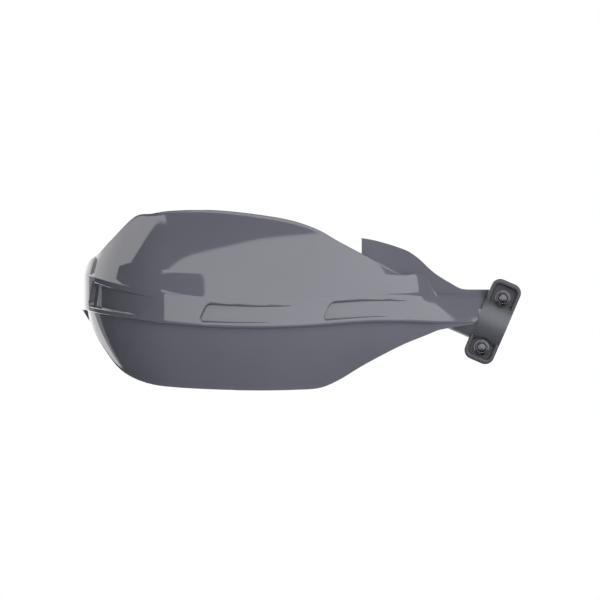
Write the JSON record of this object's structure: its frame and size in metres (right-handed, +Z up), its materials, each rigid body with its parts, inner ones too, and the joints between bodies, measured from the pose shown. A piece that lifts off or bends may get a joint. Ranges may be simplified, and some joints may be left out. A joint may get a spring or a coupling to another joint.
{
  "type": "motorcycle hand guard",
  "caption": "Curved shield on an arm that clamps to a handlebar and shelters the rider's hand and lever from wind and branches.",
  "frame": {"origin": "middle of the clamp's bore, on the handlebar's centre line, midway between the two bolts", "axes": "+X inboard towards the middle of the motorcycle, -Y ahead of the handlebar and +Z up; the bar falls 23.3 degrees towards +X"},
  "size_m": [0.2803, 0.1078, 0.1137],
  "materials": {
    "guard_plastic": "glossy grey injection moulding",
    "clamp_plastic": "satin grey injection moulding",
    "plated_steel": "zinc-plated steel",
    "nylon": "dark nylon"
  },
  "bodies": {
    "root": {"shell": "guard_plastic", "rear_clamp": "clamp_plastic", "bolt_upper": "plated_steel", "bolt_lower": "plated_steel", "head_washer_upper": "plated_steel", "head_washer_lower": "plated_steel", "nut_washer_upper": "plated_steel", "nut_washer_lower": "plated_steel", "nut_upper": "plated_steel", "nut_lower": "plated_steel", "nut_insert_upper": "nylon", "nut_insert_lower": "nylon"}
  },
  "joints": []
}
